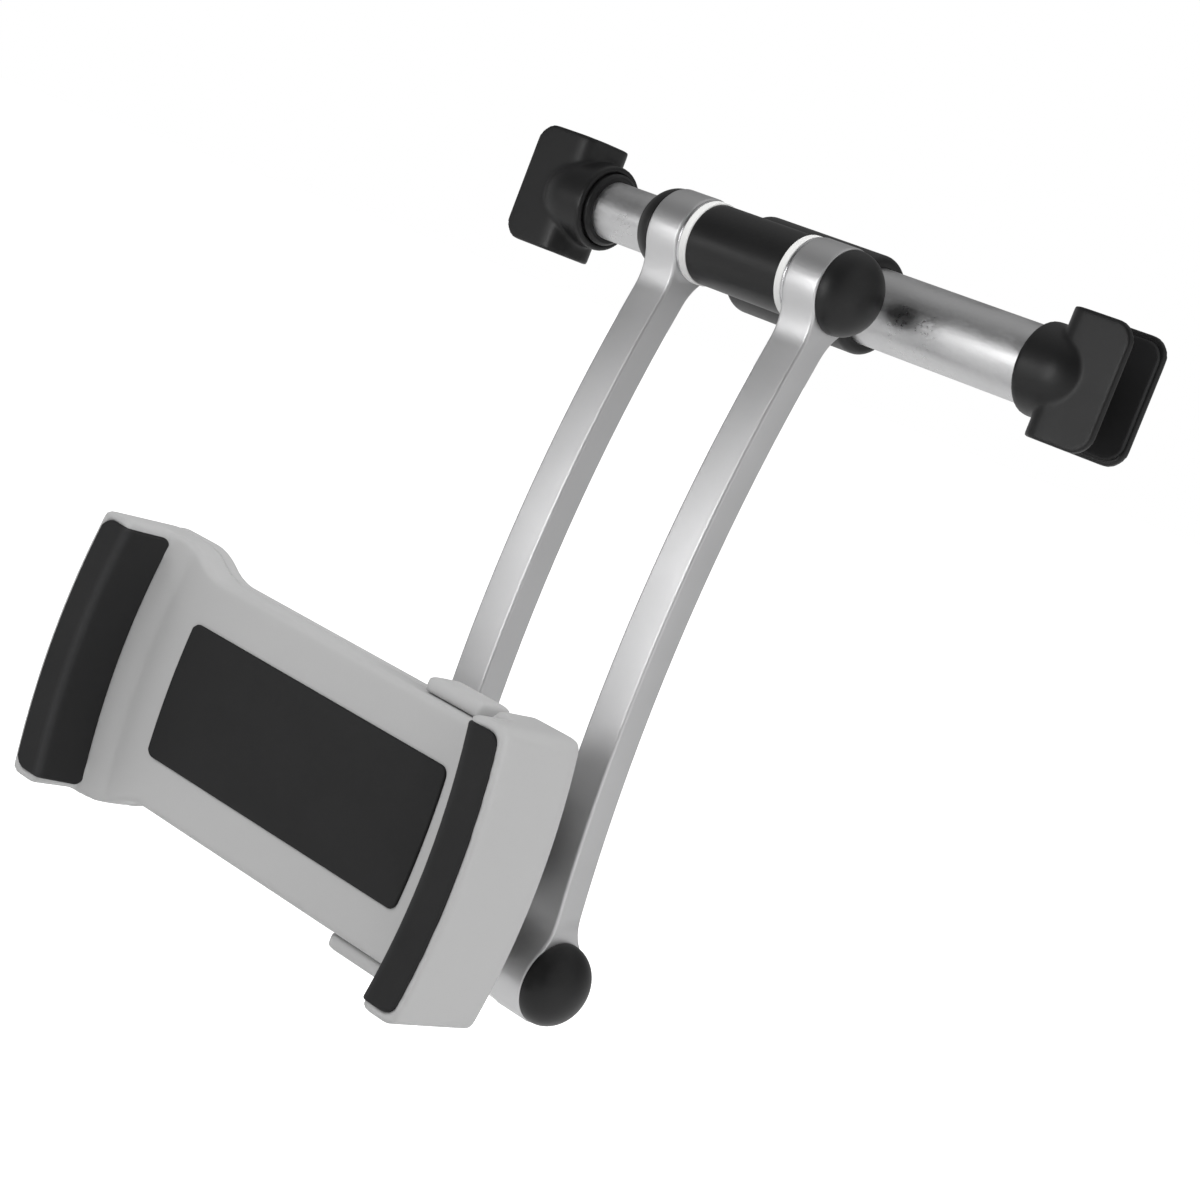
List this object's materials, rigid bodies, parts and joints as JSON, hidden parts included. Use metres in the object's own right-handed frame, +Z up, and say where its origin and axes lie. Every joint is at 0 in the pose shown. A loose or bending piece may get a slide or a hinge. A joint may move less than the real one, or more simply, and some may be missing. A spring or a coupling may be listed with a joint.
{
  "type": "tablet holder",
  "caption": "Tablet holder for a car's headrest posts: telescopic rod with post hooks, hinged curved arms and a ball-jointed spring clamp with rubber-faced jaws.",
  "frame": {"origin": "on the telescopic rod's axis, midway along the bracket's sleeve, in the plane of the two posts", "axes": "+X along the rod to the hook on the thick tube's end, +Z up along the posts, -Y towards the person who looks at the tablet"},
  "size_m": [0.2281, 0.1041, 0.2129],
  "materials": {
    "rod_aluminium": "bright drawn tube with a fine grain",
    "arm_aluminium": "blasted satin with bright cut edges",
    "black_plastic": "satin moulded",
    "dark_rubber": "matte",
    "grey_plastic": "fine satin texture",
    "white_nylon": "smooth",
    "polished_steel": "bright"
  },
  "bodies": {
    "rod": {"outer_tube": "rod_aluminium", "tube_guide_bush": "black_plastic", "outer_tube_plug": "black_plastic", "right_hook": "black_plastic", "right_hook_liner": "dark_rubber", "right_hook_screw": "polished_steel", "bracket": "black_plastic", "bracket_set_screws": "polished_steel"},
    "rod_lock": {"rod_lock_collet": "black_plastic"},
    "inner_rod": {"inner_tube": "rod_aluminium", "inner_tube_plug": "black_plastic", "rod_lock_cone": "polished_steel", "left_hook": "black_plastic", "left_hook_liner": "dark_rubber", "left_hook_screw": "polished_steel", "left_hook_reducer_bush": "black_plastic"},
    "arms": {"left_arm": "arm_aluminium", "right_arm": "arm_aluminium", "upper_hinge_washers": "white_nylon", "upper_hinge_shims": "polished_steel", "upper_hinge_bolt": "polished_steel", "upper_hinge_nut": "polished_steel", "lower_hinge_washers": "white_nylon", "lower_hinge_shims": "polished_steel", "lower_hinge_bolt": "polished_steel", "lower_hinge_nut": "polished_steel", "upper_left_cap": "black_plastic", "upper_right_cap": "black_plastic", "lower_left_cap": "black_plastic", "lower_right_cap": "black_plastic"},
    "lower_barrel": {"lower_barrel": "black_plastic", "ball_stud": "polished_steel"},
    "ball_seat": {"ball_seat_cup": "white_nylon"},
    "ball_lock": {"ball_lock_nut": "black_plastic"},
    "clamp": {"clamp_front_shell": "grey_plastic", "clamp_rear_cover": "grey_plastic", "cover_screws": "polished_steel", "centre_pad": "dark_rubber", "left_jaw_pad": "dark_rubber", "slide_springs": "polished_steel"},
    "slide": {"clamp_sliding_jaw": "grey_plastic", "right_jaw_pad": "dark_rubber"}
  },
  "joints": [
    {"name": "rod_extension", "type": "slide", "parent": "rod", "child": "rod_lock", "axis": [-1, 0, 0], "range_m": [-0.031, 0.026]},
    {"name": "rod_twist", "type": "hinge", "parent": "rod_lock", "child": "inner_rod", "pos_m": [0, 0, 0], "axis": [-1, 0, 0], "range_deg": [-90, 90]},
    {"name": "arm_swing", "type": "hinge", "parent": "rod", "child": "arms", "pos_m": [0, -0.02455, 0], "axis": [-1, 0, 0], "range_deg": [-20, 110]},
    {"name": "clamp_fold", "type": "hinge", "parent": "arms", "child": "lower_barrel", "pos_m": [0, -0.0329, -0.1844], "axis": [1, 0, 0], "range_deg": [-3, 120]},
    {"name": "clamp_yaw", "type": "hinge", "parent": "lower_barrel", "child": "ball_seat", "pos_m": [0, -0.0536, -0.1588], "axis": [0, 0, 1], "range_deg": [-12, 12]},
    {"name": "clamp_tilt", "type": "hinge", "parent": "ball_seat", "child": "ball_lock", "pos_m": [0, -0.0536, -0.1588], "axis": [1, 0, 0], "range_deg": [-4, 12]},
    {"name": "clamp_turn", "type": "hinge", "parent": "ball_lock", "child": "clamp", "pos_m": [0, -0.0536, -0.1588], "axis": [0, 1, 0], "continuous": true},
    {"name": "jaw_slide", "type": "slide", "parent": "clamp", "child": "slide", "axis": [1, 0, 0], "range_m": [0, 0.053], "stiffness_N_per_m": 150, "springref_m": -0.02}
  ]
}
